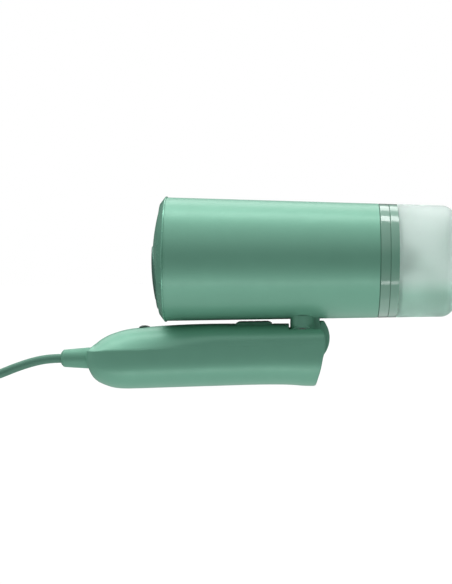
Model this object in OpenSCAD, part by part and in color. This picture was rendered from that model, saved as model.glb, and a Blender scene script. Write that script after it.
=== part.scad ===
// Folding hand-held garment steamer: a tapered steam head hinged on top of a rounded handle.
// Lengths are in millimetres. +X points from the steam face to the water tank, +Z is up.

/* [Head] */
// Diameter of the sleeve just behind the front lip
head_d = 70.9; // [60:0.1:85]
// Diameter of the raised lip round the steam face
lip_d = 72; // [62:0.5:90]
// Taper of the head on each side, in degrees
taper = 1.38; // [0:0.02:3]
// Wall of the sleeve
sleeve_wall = 2; // [1.2:0.1:3]
// Height of the head's axis above the fold axis
axis_rise = 44.1; // [42:0.1:50]
// Slope of the folded head, tank end down, in degrees
head_pitch = 1.4; // [0:0.1:4]
// Radius of the domed steam face
face_r = 111; // [80:1:200]

/* [Tank] */
// Wall of the water tank
tank_wall = 2; // [1:0.1:3]
// Rounding of the tank's closed end
tank_round = 7.5; // [2:0.5:10]
// Diameter of the filler hole
filler_d = 16; // [10:0.5:20]

/* [Handle] */
// Width of the handle
handle_w = 38; // [32:0.5:44]
// Height of the fold axis above the surface the handle lies on
pivot_z = 27.9; // [27.9:0.1:32]
// Radius of the hinge barrel
barrel_r = 15.6; // [14:0.1:18]
// How far the head unfolds, in degrees
fold_travel = 95; // [80:1:110]
// Diameter of the hinge pin
pin_d = 6; // [4:0.5:8]
// How far the steam trigger stands proud of the handle
trigger_rise = 1.4; // [0.5:0.1:3]

/* [Cord] */
// Diameter of the cord
cord_d = 5.2; // [4:0.1:8]
// Diameter of the coil, from mid-turn to mid-turn
coil_d = 62; // [48:1:80]
// Distance between the plug's pins
pin_pitch = 19; // [12:0.5:22]

/* [Hidden] */
$fn = 64;
pivot_x = 25.5;                 // puts the body's middle at x = 0
green = "#8fc9b0";
dark_green = "#5f8f7c";
clear = "#dfeee8";
white = "#f2f2ee";
steel = "#b9bcc0";
black = "#2b2b2d";
silicone = "#d9dcd8";

// Stations along the head, measured from the fold axis
lip_u = -78.8;
sleeve_u0 = -77.8;
sleeve_u1 = 42.7;
ring_u1 = 48.4;
rim_u1 = 53.2;
tank_u1 = 86.1;
face_apex = -85.9;
face_rim = -81.4;
face_bore = 31.5;
ledge_u0 = -79.5;
ledge_u1 = -77.5;
ledge_r = 29;
plate_drop = 10.5;              // steam plate's centre below the head's axis
plate_half = 7;                 // and half the distance between its end circles
plate_r = 18;
boiler_r = 28.3;
boiler_u1 = -54;
chassis_drop = 22;
core_r = 29.7;

// Fold axis to cord guard
guard_z = -10.1;
guard_u0 = -138.8;

// Handle's side outline, from the fold axis
side_line = [
    [-123.9, -10.1], [-123.5, -7.2], [-122.1, -4.7], [-120.4, -3.2], [-118.1, -1.1], [-114.9, 1.2],
    [-110.5, 3.4], [-104, 5.5], [-98.4, 6.6], [-91, 7.3], [-84, 7.8], [-74, 8.3], [-63.9, 8.6],
    [-52, 8.7], [-40.9, 8.6], [-26, 8.4], [-12.2, 8.2], [-4, 8.1], [3, 8], [7.6, 7.4], [10.2, 6.2],
    [11.9, 4.4], [13, 1.8], [13.2, -1], [13.1, -4], [12.3, -8], [11.4, -11.2], [10.9, -13.8],
    [9.9, -18.3], [8.5, -22.9], [7.5, -26.4], [7.1, -27.5], [6.5, -27.9], [1.4, -27.9], [-4, -27.4],
    [-10.3, -27], [-24.6, -26.8], [-36, -26.9], [-47.6, -27.1], [-59, -27.3], [-70.6, -27.5],
    [-82, -27.7], [-92, -27.9], [-102.6, -27.9], [-107.6, -27.4], [-111.4, -26.4], [-114.2, -25.3],
    [-116.9, -24], [-119.6, -21.7], [-121.2, -19.3], [-122.6, -16], [-123.5, -13]
];
// The space inside it
room_line = [
    [-120.6, -10.1], [-120, -6.6], [-116, -2.2], [-110, 0.6], [-103, 2.9], [-97, 4], [-90, 4.7],
    [-84, 5.3], [-64, 6.1], [-40, 6.1], [-9.4, 5.8], [-9.4, 2.6], [-15.4, 1], [-18.2, -2],
    [-18.2, -24.3], [-60, -24.8], [-101, -25.4], [-108, -24.6], [-114, -21.8], [-118.2, -17.6],
    [-120.2, -13.4]
];
// Handle's outline from above, half of it
plan_line = [
    [-123.9, 9.4], [-122.6, 11.6], [-120, 13.4], [-116, 15], [-110, 16.7], [-103, 17.9],
    [-95, 18.6], [-85, 19]
];
bosses = [[-106.6, -16.4], [-62, -19.6], [-27, -19.6], [-80.4, -0.5]];
ribs = [-92, -50, -24];

// Cord, from its exit to the coil, in the row's frame
coil_x = -206;
coil_y = 0;
coil_h = 16;
coil_z = 0.6;
cord_route = [
    [-103, 0, 17.8], [-108, 0, 17.8], [-113.1, 0, 17.8], [-118, 0, 17.7], [-123.6, 0, 17.2],
    [-129.2, 0, 16.1], [-135, 0, 14.5], [-141, 0, 12.5], [-146, 0.1, 10.6], [-150.7, 0.5, 8.9],
    [-155.2, 1.7, 7.3], [-159.5, 3.7, 6], [-163.4, 6.4, 4.9], [-166.9, 9.9, 4.1],
    [-170.6, 14.4, 3.5], [-174.4, 19, 3.2], [-178.4, 23.5, 3.2], [-184.6, 29.2, 3.2],
    [-193.2, 34, 3.2]
];
plug_route = [
    [-242, 5, 13.9], [-242.3, -2, 14.4], [-242.3, -9, 15.8], [-241.7, -16, 18], [-239.9, -23, 20.8],
    [-236.6, -29.8, 23.4], [-231.6, -35.1, 25.5], [-225, -38.4, 27.1], [-218, -38.9, 28.2],
    [-211.8, -36.8, 28.9], [-206.8, -32.8, 29.3], [-203.6, -27.2, 29.5], [-202, -21, 29.6],
    [-201.5, -14, 29.6], [-201.4, -8, 29.6]
];
plug_at = [-201.4, -9, 29.6];
plug_half_h = 13;

// Hose inside the tank: along the head, then below its axis
intake_route = [
    [0, 0, 66.6], [0.1, 0, 69], [1.4, 0, 71.3], [4.6, 0, 72.8], [9.6, 0, 73.6], [14.6, 0, 74.8],
    [18.8, 0, 76.8], [22.6, 0, 78.6]
];

function r_at(u) = head_d / 2 - (u - sleeve_u0) * tan(taper);
function unit(v) = v / norm(v);
function lean(pts, i) = unit(pts[min(i + 1, len(pts) - 1)] - pts[max(i - 1, 0)]);
function super(y, half, rise, n) = rise * pow(max(0, 1 - pow(abs(y) / half, n)), 1 / n);
function coil_turn(x, y, z0, z1, r, turns, per) = [
    for (i = [0:turns * per])
        [x + r * cos(360 * i / per), y + r * sin(360 * i / per), z0 + (z1 - z0) * i / (turns * per)]
];

// A round tube along points, its rings kept square to the aside direction
module tube(pts, r, sides = 10, aside = [0, 1, 0]) {
    rings = [for (i = [0:len(pts) - 1]) let (t = lean(pts, i), a = unit(cross(t, aside)), b = cross(t, a))
        for (k = [0:sides - 1]) pts[i] + r * (a * cos(360 * k / sides) + b * sin(360 * k / sides))];
    last = len(pts) - 1;
    polyhedron(
        points = rings,
        faces = concat(
            [[for (k = [0:sides - 1]) k]],
            [for (i = [0:last - 1]) for (k = [0:sides - 1])
                [i * sides + k, (i + 1) * sides + k, (i + 1) * sides + (k + 1) % sides,
                    i * sides + (k + 1) % sides]],
            [[for (k = [sides - 1:-1:0]) last * sides + k]]
        )
    );
}

// Frames: the handle's, the head's with Z up, and the head's with its axis along Z
module at_handle() translate([pivot_x, 0, pivot_z]) children();
module at_head() at_handle() rotate([0, head_pitch, 0]) children();
module on_axis() at_head() translate([0, 0, axis_rise]) rotate([0, 90, 0]) children();

module cone(u0, u1, inset = 0)
    translate([0, 0, u0]) cylinder(h = u1 - u0, r1 = r_at(u0) - inset, r2 = r_at(u1) - inset);
module rod(u0, u1, r) translate([0, 0, u0]) cylinder(h = u1 - u0, r = r);
module pipe(u0, u1, r, bore) difference() {
    rod(u0, u1, r);
    rod(u0 - 1, u1 + 1, bore);
}
module along_y(x, z, y0, y1, r)
    translate([x, y0, z]) rotate([-90, 0, 0]) cylinder(h = y1 - y0, r = r);

/* ---------- handle ---------- */

// Solid of a side outline, rounded over by a cross-section and narrowed in plan
module handle_form(line, half, top, foot, inset) intersection() {
    rotate([90, 0, 0]) linear_extrude(height = 2 * half + 2, center = true) polygon(line);
    translate([-130, 0, 0]) rotate([90, 0, 90]) linear_extrude(height = 160) polygon([
        for (i = [0:36]) let (y = half * cos(5 * i)) [y, super(y, half, top, 2.35) - 5],
        for (i = [0:36]) let (y = -half * cos(5 * i)) [y, -9 - super(y, half, foot, 3)]
    ]);
    translate([0, 0, -40]) linear_extrude(height = 60) polygon(concat(
        [for (p = plan_line) [p[0] + inset, p[1] - inset]],
        [[20, half], [20, -half]],
        [for (i = [len(plan_line) - 1:-1:0]) [plan_line[i][0] + inset, inset - plan_line[i][1]]]
    ));
}

module handle_hollow() difference() {
    union() {
        difference() {
            handle_form(side_line, handle_w / 2, 13.9, 19.4, 0);
            handle_form(room_line, handle_w / 2 - 2.4, 11.3, 16.9, 2.4);
        }
        intersection() {
            handle_form(side_line, handle_w / 2, 13.9, 19.4, 0);
            union() {
                for (b = bosses) along_y(b[0], b[1], -20, 20, 4.4);
                for (x = ribs) for (s = [-1, 1])
                    translate([x, s * 15 - 3, -14]) cube([3, 6, 3.2]);
                translate([-117.6, -10, -18]) cube([2, 20, 15.6]);
            }
        }
    }
    // pocket for the barrel, and the wider one the neck swings through
    intersection() {
        along_y(0, 0, -8.5, 8.5, barrel_r + 0.5);
        union() {
            translate([-30, -10, -30]) cube([60, 20, 31]);
            translate([-7.4, -10, -1]) cube([40, 20, 30]);
        }
    }
    intersection() {
        along_y(0, 0, -13.7, 13.7, barrel_r - 0.7);
        translate([-7.4, -14, -9.8]) cube([40, 28, 40]);
    }
    along_y(0, 0, -13.7, 13.7, 8);
    along_y(0, 0, -16.6, 16.6, pin_d / 2);
    // saddle that clears the unfolded head, and the path it swings along
    rotate([0, head_pitch + fold_travel, 0]) translate([0, 0, axis_rise]) rotate([0, 90, 0])
        rod(-60, 60, r_at(10) + 0.8);
    rotate([90, 0, 0]) rotate([0, 0, 90 - head_pitch - fold_travel])
        rotate_extrude(angle = fold_travel) translate([axis_rise, 0]) circle(r = r_at(0) + 0.6);
    // trigger, ready light and cord guard
    translate([-38.1, -7.2, 3]) cube([21.1, 14.4, 9]);
    translate([-93.5, -2.1, 3]) cube([6.2, 4.2, 9]);
    translate([-130, 0, guard_z]) rotate([0, 90, 0]) cylinder(h = 15, r = 6.1);
}

module handle_half() intersection() {
    handle_hollow();
    translate([-150, -30, -40]) cube([200, 30, 80]);
}

module handle_shell_near() color(green) at_handle() difference() {
    handle_half();
    for (b = bosses) along_y(b[0], b[1], -10, 1, 1.3);
}

module handle_shell_far() color(green) at_handle() difference() {
    mirror([0, 1, 0]) handle_half();
    for (b = bosses) {
        along_y(b[0], b[1], -1, 10, 1.6);
        along_y(b[0], b[1], 9, 25, 3);
    }
}

module handle_screws() color(steel) at_handle() for (b = bosses) {
    along_y(b[0], b[1], -10, 9, 1.3);
    difference() {
        along_y(b[0], b[1], 9, 11.2, 2.8);
        translate([b[0] - 2.2, 10.2, b[1] - 0.4]) cube([4.4, 2, 0.8]);
        translate([b[0] - 0.4, 10.2, b[1] - 2.2]) cube([0.8, 2, 4.4]);
    }
}

module hinge_pin() color(steel) at_handle() along_y(0, 0, -16.6, 16.6, pin_d / 2);

// Sprung washers that hold the head where it is put
module friction_washers() color(steel) at_handle() for (s = [-1, 1]) difference() {
    along_y(0, 0, s * 13.55 - 0.15, s * 13.55 + 0.15, 5.8);
    along_y(0, 0, -15, 15, pin_d / 2);
}

module control_board() color("#2f6b4a") at_handle() difference() {
    translate([-98, -13.6, -10.8]) cube([78, 27.2, 1.6]);
    for (x = [-95, -44]) translate([x, 0, -12]) cylinder(h = 4, r = 1.4);
}

module board_parts() color(black) at_handle() {
    translate([-76, -9, -9.2]) cube([11, 10, 5.4]);
    translate([-60, -6, -9.2]) cube([10, 4.6, 9]);
    for (x = [-57, -66]) translate([x, 7, -9.2]) cylinder(h = 9, r = 3.6);
    translate([-90, -4, -9.2]) cube([3, 8, 3]);
    translate([-46, 2, -9.2]) cube([4, 8, 2.2]);
}

module micro_switch() color(black) at_handle() {
    difference() {
        translate([-38, -3.2, -9.2]) cube([18, 6.4, 10]);
        for (x = [-35, -23]) along_y(x, -6.6, -5, 5, 1.2);
    }
    translate([-26, -1.2, 0.8]) cube([2.4, 2.4, 0.9]);
}

module ready_light() color("#3d6b58") at_handle() {
    translate([-93.5, -2.1, 4]) cube([6.2, 4.2, 3.7]);
    translate([-93.5, -2.1, 7.4]) intersection() {
        cube([6.2, 4.2, 1]);
        translate([3.1, 2.1, -5.4]) sphere(r = 6.3);
    }
    translate([-94.6, -3.2, 2.8]) cube([8.4, 6.4, 1.4]);
}

module cord_guard() color(green) at_handle() translate([0, 0, guard_z]) rotate([0, 90, 0])
    difference() {
        union() {
            translate([0, 0, guard_u0]) cylinder(h = 1.4, r1 = 3.4, r2 = 4.7);
            translate([0, 0, guard_u0 + 1.4]) cylinder(h = 14.4, r1 = 5.2, r2 = 6.1);
            rod(-123, -115.6, 6.1);
            rod(-115.6, -114.2, 7.4);
        }
        rod(-140, -113, cord_d / 2);
        for (u = [-133, -129.4]) pipe(u, u + 0.8, 7, 4.9);
    }

module cord_clamp() color(black) at_handle() {
    difference() {
        translate([-114.2, -8.5, -12.8]) cube([4, 17, 5.4]);
        translate([-120, 0, guard_z]) rotate([0, 90, 0]) cylinder(h = 12, r = cord_d / 2);
    }
    for (s = [-1, 1]) translate([-112.2, 6 * s, -7.4]) cylinder(h = 1.6, r = 1.8);
}

module lead_wires() color("#8d5a3c") at_handle() for (s = [-1, 1])
    tube([[-110.2, 1.2 * s, guard_z], [-106, 1.4 * s, -9.6], [-102.6, 1.8 * s, -7.6],
        [-99, 2.2 * s, -6.6], [-95, 2.4 * s, -6.9], [-90, 2.4 * s, -7.7]], 0.9, 8);

module steam_trigger() color(green) at_handle() {
    rotate([90, 0, 0]) linear_extrude(height = 14, center = true) polygon([
        [-37.9, 4], [-37.9, 8.5], [-35.6, 8.5 + trigger_rise], [-19.5, 8.4 + trigger_rise],
        [-17.2, 8.4], [-17.2, 4]
    ]);
    translate([-39.4, -7.7, 3.6]) cube([23.6, 15.4, 1.4]);
}

module trigger_springs() color(steel) at_handle() for (s = [-1, 1])
    tube(coil_turn(-28, 5.3 * s, -8.8, 3.2, 1.6, 5, 10), 0.35, 6, [0, 0.01, 1]);

/* ---------- head ---------- */

module head_sleeve() color(green) difference() {
    on_axis() difference() {
        cone(sleeve_u0, sleeve_u1);
        cone(sleeve_u0 - 1, sleeve_u1 + 1, sleeve_wall);
    }
    at_head() translate([-5, -10, 5]) cube([13, 20, 12]);
}

module neck_plan() {
    for (s = [-1, 1]) translate([0, 6.4 * s]) circle(r = 6.9);
    translate([-6.9, -6.4]) square([13.8, 12.8]);
}

module hinge_neck() color(green) difference() {
    union() {
        difference() {
            at_head() {
                linear_extrude(height = 16) neck_plan();
                translate([0, -8.1, -8]) cube([9.9, 16.2, 24]);
            }
            on_axis() cone(-40, 40);
        }
        at_head() {
            along_y(0, 0, -13.3, 13.3, 7.6);
            intersection() {
                along_y(0, 0, -8.1, 8.1, barrel_r);
                rotate([0, 10, 0]) translate([8.5, -10, -20]) cube([20, 20, 40]);
                translate([-20, -10, -30]) cube([60, 20, 39.3]);
            }
            translate([-4.95, -9.95, 8]) cube([12.9, 19.9, 5]);
        }
    }
    at_head() {
        along_y(0, 0, -20, 20, pin_d / 2 + 0.05);
        for (s = [-1, 1]) translate([1.5, 5 * s, 4]) cylinder(h = 20, r = 1.25);
    }
}

module neck_screws() color(steel) at_head() for (s = [-1, 1]) translate([1.5, 5 * s, 0]) {
    translate([0, 0, 4]) cylinder(h = 18.6, r = 1.25);
    difference() {
        translate([0, 0, axis_rise - chassis_drop]) cylinder(h = 2, r = 2.6);
        translate([-2, -0.4, axis_rise - chassis_drop + 1]) cube([4, 0.8, 2]);
    }
}

// Raised lip, polished slope and the seat behind the steam face
module front_ring() color(green) on_axis() rotate_extrude()
    polygon([
        [lip_d / 2, sleeve_u0], [lip_d / 2, lip_u + 0.3], [lip_d / 2 - 0.3, lip_u],
        [31.9, face_rim - 0.2], [face_bore, face_rim - 0.1], [face_bore, ledge_u0],
        [ledge_r, ledge_u0], [ledge_r, ledge_u1], [face_bore, ledge_u1], [face_bore, -69],
        [33.1, -69], [33.1, sleeve_u0]
    ]);

module plate_shape(r) for (s = [-1, 1]) translate([plate_drop, plate_half * s]) circle(r = r);
module plate_area(r) {
    plate_shape(r);
    translate([plate_drop - r, -plate_half]) square([2 * r, 2 * plate_half]);
}

module face_dome() color(green) on_axis() difference() {
    intersection() {
        translate([0, 0, face_apex + face_r]) difference() {
            sphere(r = face_r, $fn = 128);
            sphere(r = face_r - 2, $fn = 128);
        }
        rod(-90, ledge_u0, face_bore - 0.1);
    }
    translate([0, 0, -90]) linear_extrude(height = 20) plate_area(plate_r + 0.15);
}

module steam_plate() color(dark_green) on_axis() difference() {
    intersection() {
        translate([0, 0, face_apex + face_r]) sphere(r = face_r + 0.6, $fn = 128);
        translate([0, 0, -90]) linear_extrude(height = 10.2) plate_area(plate_r);
    }
    translate([0, 0, -83.6]) linear_extrude(height = 6) plate_area(plate_r - 4);
    for (s = [-1, 1]) for (k = [0:7])
        translate([plate_drop + 9.5 * cos(45 * k + 22.5), plate_half * s + 9.5 * sin(45 * k + 22.5), -90])
            cylinder(h = 20, r = 1.3, $fn = 24);
    for (y = [-plate_half, 0, plate_half]) translate([plate_drop, y, -90])
        cylinder(h = 20, r = 1.6, $fn = 24);
}

module boiler_gasket() color(silicone) on_axis() pipe(ledge_u1, ledge_u1 + 1, 31.2, boiler_r + 0.2);

module heater_ring() {
    translate([0, 0, -68.4]) rotate([0, 0, 20]) rotate_extrude(angle = 320) translate([24.2, 0])
        circle(r = 2.6, $fn = 32);
    for (a = [26, 334]) rotate([0, 0, a]) translate([24.2, 0, -68.4]) cylinder(h = 18.6, r = 1.6);
}

module boiler_block() color("#c9ccd0") on_axis() difference() {
    union() {
        rod(-79.8, boiler_u1, boiler_r);
        rod(ledge_u1 + 1, ledge_u1 + 3.5, 31.2);
    }
    rod(-72, boiler_u1 + 1, 17);
    heater_ring();
    for (k = [0:4]) rotate([0, 0, 72 * k]) translate([9, 0, -81]) cylinder(h = 12, r = 2);
    for (k = [0:3]) rotate([0, 0, 45 + 90 * k]) translate([19.8, 0, -63]) cylinder(h = 12, r = 1.3);
}

module boiler_cover() color("#c9ccd0") on_axis() difference() {
    union() {
        rod(boiler_u1, boiler_u1 + 2.5, 22.3);
        rod(boiler_u1 - 3, boiler_u1, 17);
    }
    rod(-60, -50, 2.2);
    for (k = [0:3]) rotate([0, 0, 45 + 90 * k]) translate([19.8, 0, -56]) cylinder(h = 8, r = 1.5);
}

module cover_screws() color(steel) on_axis() for (k = [0:3]) rotate([0, 0, 45 + 90 * k])
    translate([19.8, 0, 0]) {
        rod(-63, boiler_u1 + 2.5, 1.3);
        rod(boiler_u1 + 2.5, boiler_u1 + 4.5, 2.5);
    }

module heating_element() color("#8b8d90") on_axis() heater_ring();

module thermostat() color(black) on_axis() translate([-10.5, 0, 0]) {
    rod(-51.5, -48, 6);
    rod(-48, -45.5, 4.6);
    for (s = [-1, 1]) translate([-0.4, 2.4 * s - 1, -45.5]) cube([0.8, 2, 6]);
}

module thermal_fuse() color(white) on_axis() translate([11, 0, -49.4]) {
    rotate([90, 0, 0]) cylinder(h = 12, r = 2.1, center = true);
    rotate([90, 0, 0]) cylinder(h = 20, r = 0.5, center = true);
}

module heat_shield() color(steel) on_axis() {
    pipe(ledge_u1 + 3.5, -46, 31.2, 30.6);
    pipe(-46.6, -46, 31.2, 28);
}

module steam_inlet() color("#b58a4a") on_axis() difference() {
    union() {
        rod(-51.5, -45, 3.6);
        rod(-54.6, -51.5, 2.2);
        rod(-45, -38.6, 2.2);
    }
    rod(-56, -38, 1.1);
}

// Flat chassis across the sleeve, with the pad that clamps the hinge neck
module inner_frame() color(white) difference() {
    on_axis() intersection() {
        cone(-60, 40, sleeve_wall);
        union() {
            translate([chassis_drop, -30, -44]) cube([2.5, 60, 76]);
            translate([chassis_drop, -10, -6]) cube([axis_rise - 13 - chassis_drop, 20, 15]);
            for (u = [-40, 24]) translate([chassis_drop, -12, u]) cube([12, 24, 2.4]);
        }
    }
    for (s = [-1, 1]) at_head() translate([1.5, 5 * s, 5]) cylinder(h = 20, r = 1.25);
    on_axis() for (u = [-34, 29]) for (s = [-1, 1])
        translate([chassis_drop - 1, 14 * s, u]) rotate([0, 90, 0]) cylinder(h = 5, r = 1.6);
}

module pump_body() color(white) on_axis() difference() {
    union() {
        rod(-28, 24, 9);
        rod(-36, -28, 2.2);
        rod(24, 31.4, 2.2);
        pipe(-21, -18, 11, 8.5);
    }
    rod(-37, 32, 1.1);
}

module pump_coil() color("#9a4a2c") on_axis() {
    pipe(-16.4, 14.6, 14.2, 9);
    for (u = [-18, 14.6]) pipe(u, u + 1.6, 16.4, 9);
}

module pump_mounts() color(black) on_axis() for (u = [-27, 18]) difference() {
    translate([0, -7.5, u]) cube([chassis_drop, 15, 5]);
    rod(u - 1, u + 6, 9);
}

module outlet_hose() color(silicone) on_axis() pipe(-44.9, -28.1, 3.5, 2.2);

module inlet_hose() color(silicone) on_axis() pipe(24.1, 40.4, 3.5, 2.2);

// Bulkhead that closes the sleeve, with the ring that the tank slides over
module dock_core() color(green) on_axis() {
    difference() {
        cone(35.5, sleeve_u1, sleeve_wall);
        rod(35, 50, 27.6);
    }
    pipe(sleeve_u1, 52.4, core_r, 27.6);
    pipe(41, 43.5, 27.6, 4.5);
}

module dock_spigot() color(white) on_axis() difference() {
    union() {
        rod(33.6, 41, 2.2);
        rod(40.4, 50, 4.5);
        rod(43.5, 45, 7.2);
    }
    rod(33, 51, 1.1);
    pipe(47.4, 48.6, 6, 4.1);
}

module dock_o_ring() color(black) on_axis() translate([0, 0, 48]) rotate_extrude()
    translate([4.7, 0]) circle(r = 0.6, $fn = 24);

/* ---------- tank ---------- */

module tank_collar() color(clear) on_axis() difference() {
    cone(sleeve_u1 + 0.2, ring_u1);
    rod(sleeve_u1, ring_u1 + 1, core_r + 0.3);
}

module tank_rim() color(clear) on_axis() difference() {
    cone(ring_u1, rim_u1);
    rod(ring_u1 - 1, rim_u1 + 1, core_r + 0.3);
}

module tank_outline(inset) intersection() {
    square([60, tank_u1 - inset]);
    union() {
        polygon([[0, rim_u1 - 1], [r_at(rim_u1 - 1) - inset, rim_u1 - 1],
            [r_at(tank_u1 - tank_round) - inset, tank_u1 - tank_round], [0, tank_u1 - tank_round]]);
        translate([r_at(tank_u1 - tank_round) - tank_round, tank_u1 - tank_round])
            circle(r = tank_round - inset);
        square([r_at(tank_u1 - tank_round) - tank_round, tank_u1 - inset]);
    }
}

module tank_shell() color(clear) on_axis() difference() {
    union() {
        difference() {
            rotate_extrude() tank_outline(0);
            rotate_extrude() tank_outline(tank_wall);
        }
        translate([-13, 0, 0]) rod(tank_u1 - 4.1, tank_u1 - 0.5, 12);
    }
    rod(0, rim_u1, 60);
    translate([-13, 0, 0]) {
        rod(tank_u1 - 8, tank_u1 + 2, filler_d / 2);
        rod(tank_u1 - 1.7, tank_u1 + 2, filler_d / 2 + 2.6);
    }
}

// Front wall of the tank, recessed over the dock, with the valve's socket
module tank_cap() color(clear) on_axis() difference() {
    union() {
        pipe(rim_u1, rim_u1 + 2, r_at(rim_u1 + 2) - tank_wall, 25.8);
        pipe(47, rim_u1 + 2, 27.2, 25.8);
        pipe(47, 48.6, 27.2, 5.6);
        pipe(47, 65, 7.5, 5.6);
        pipe(56, 58, 7.5, 2.2);
    }
    for (k = [0:2]) rotate([0, 0, 120 * k]) translate([6.5, 0, 63]) cylinder(h = 3, r = 0.6);
}

module tank_valve() color(black) on_axis() {
    rod(51.4, 52.6, 3.6);
    rod(52.6, 58, 1.5);
    rod(58, 59.6, 4.2);
}

module valve_spring() color(steel) on_axis()
    tube(coil_turn(0, 0, 52.9, 55.7, 2.7, 3, 12), 0.3, 6, [0, 0.01, 1]);

module valve_cover() color(silicone) on_axis() difference() {
    union() {
        rod(65, 66.4, 7.5);
        rod(66.4, 69, 1.6);
    }
    rod(64, 70, 0.9);
}

module intake_hose() color(silicone) on_axis() difference() {
    tube(intake_route, 2.5, 12);
    rod(66, 69, 1.6);
}

module intake_filter() color(steel) on_axis() translate([22.2, 0, 78.7]) rotate([0, 90, 0])
    difference() {
        cylinder(h = 5.8, r = 3.4);
        for (k = [0:5]) rotate([0, 0, 60 * k]) translate([3.4, 0, 2.8]) cylinder(h = 4, r = 0.5, $fn = 16);
    }

module filler_plug() color(silicone) on_axis() translate([-13, 0, 0]) difference() {
    union() {
        rod(tank_u1 - 5.1, tank_u1 - 1, filler_d / 2 - 0.05);
        rod(tank_u1 - 1.65, tank_u1 - 0.1, filler_d / 2 + 2.4);
    }
    rod(tank_u1 - 6.1, tank_u1 - 2.6, filler_d / 2 - 2);
    translate([-14, -4, tank_u1 - 0.9]) cube([7, 8, 2]);
}

/* ---------- cord ---------- */

module cord() color(green) tube(cord_route, cord_d / 2, 12, [0, 0.01, 1]);

module cord_coil() color(green) translate([coil_x, coil_y, coil_z]) rotate_extrude()
    translate([coil_d / 2, 0]) {
        translate([-8.2, 2.6]) square([16.4, coil_h - 5.2]);
        translate([-5.6, 0]) square([11.2, coil_h]);
        for (x = [-5.6, 5.6]) for (z = [2.6, coil_h - 2.6]) translate([x, z]) circle(r = 2.6);
    }

module coil_tie() color(black)
    translate([coil_x, coil_y, coil_z]) rotate([0, 0, -24]) translate([coil_d / 2, 0, 0]) difference() {
        translate([-9.3, -4, -0.6]) cube([18.3, 8, coil_h + 1.2]);
        translate([-8.7, -5, 0]) cube([17, 10, coil_h]);
    }

module cord_tail() color(green) tube(plug_route, cord_d / 2, 12, [0, 0.01, 1]);

module plug_body() color(green) translate(plug_at) difference() {
    rotate([-90, 0, 0]) {
        cylinder(h = 20, r1 = 4, r2 = 6.5);
        translate([0, 0, 20]) cylinder(h = 8, r1 = 8, r2 = plug_half_h);
        for (s = [-1, 1]) translate([4.5 * s, 0, 28]) cylinder(h = 10, r = plug_half_h);
        translate([-4.5, -plug_half_h, 28]) cube([9, 2 * plug_half_h, 10]);
    }
    rotate([-90, 0, 0]) translate([0, 0, -1]) cylinder(h = 16, r = cord_d / 2);
    for (y = [4, 8.6, 13.2]) translate([0, y, 0]) rotate([-90, 0, 0]) pipe(0, 1.6, 9, 4.1);
}

module plug_pins() color(steel) translate(plug_at) for (s = [-1, 1])
    translate([s * pin_pitch / 2, 38, 0]) rotate([-90, 0, 0]) {
        cylinder(h = 17.6, r = 2.4);
        translate([0, 0, 17.6]) cylinder(h = 1.4, r1 = 2.4, r2 = 1.4);
    }

handle_shell_near();
handle_shell_far();
handle_screws();
hinge_pin();
friction_washers();
control_board();
board_parts();
micro_switch();
ready_light();
cord_guard();
cord_clamp();
lead_wires();
steam_trigger();
trigger_springs();
head_sleeve();
hinge_neck();
neck_screws();
front_ring();
face_dome();
steam_plate();
boiler_gasket();
boiler_block();
boiler_cover();
cover_screws();
heating_element();
thermostat();
thermal_fuse();
heat_shield();
steam_inlet();
inner_frame();
pump_body();
pump_coil();
pump_mounts();
outlet_hose();
inlet_hose();
dock_core();
dock_spigot();
dock_o_ring();
tank_collar();
tank_rim();
tank_shell();
tank_cap();
tank_valve();
valve_spring();
valve_cover();
intake_hose();
intake_filter();
filler_plug();
cord();
cord_coil();
coil_tie();
cord_tail();
plug_body();
plug_pins();
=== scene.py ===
"""Folding garment steamer: looks, cord, light and camera round the CAD frame."""
import math

import bpy
import numpy as np
from mathutils import Matrix, Vector


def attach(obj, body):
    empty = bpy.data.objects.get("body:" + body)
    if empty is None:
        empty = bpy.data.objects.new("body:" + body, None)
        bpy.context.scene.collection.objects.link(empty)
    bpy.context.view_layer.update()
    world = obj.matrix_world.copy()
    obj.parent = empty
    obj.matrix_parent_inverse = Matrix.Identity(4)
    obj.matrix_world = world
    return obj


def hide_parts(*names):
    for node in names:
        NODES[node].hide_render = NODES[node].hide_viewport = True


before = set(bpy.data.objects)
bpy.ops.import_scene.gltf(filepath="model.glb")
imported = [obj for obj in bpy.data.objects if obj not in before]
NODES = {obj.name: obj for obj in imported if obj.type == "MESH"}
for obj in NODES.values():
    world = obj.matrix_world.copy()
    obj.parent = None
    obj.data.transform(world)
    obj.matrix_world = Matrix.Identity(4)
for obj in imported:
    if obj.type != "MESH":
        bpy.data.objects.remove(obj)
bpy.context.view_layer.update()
scene = bpy.context.scene

# ---------------------------------------------------------------- frames, in mm
PIVOT = (25.5, 0.0, 27.9)
PITCH = math.radians(1.4)
RISE = 44.1
BARREL_R = 15.6
TAPER = math.tan(math.radians(1.38))


def r_at(u):
    return 35.45 - (u + 77.8) * TAPER


def from_handle(p):
    """Handle frame, mm, to the row frame in metres."""
    return (np.asarray(p, float) + PIVOT) / 1000.0


def from_head(p):
    """Head frame with Z up, mm, to the row frame in metres."""
    p = np.asarray(p, float)
    c, s = math.cos(PITCH), math.sin(PITCH)
    q = np.stack([p[:, 0] * c + p[:, 2] * s, p[:, 1], -p[:, 0] * s + p[:, 2] * c], 1)
    return from_handle(q)


def from_axis(p):
    """(u along the head, y across, d below the head's axis) in mm to the row frame in metres."""
    p = np.asarray(p, float)
    return from_head(np.stack([p[:, 0], p[:, 1], RISE - p[:, 2]], 1))


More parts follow.
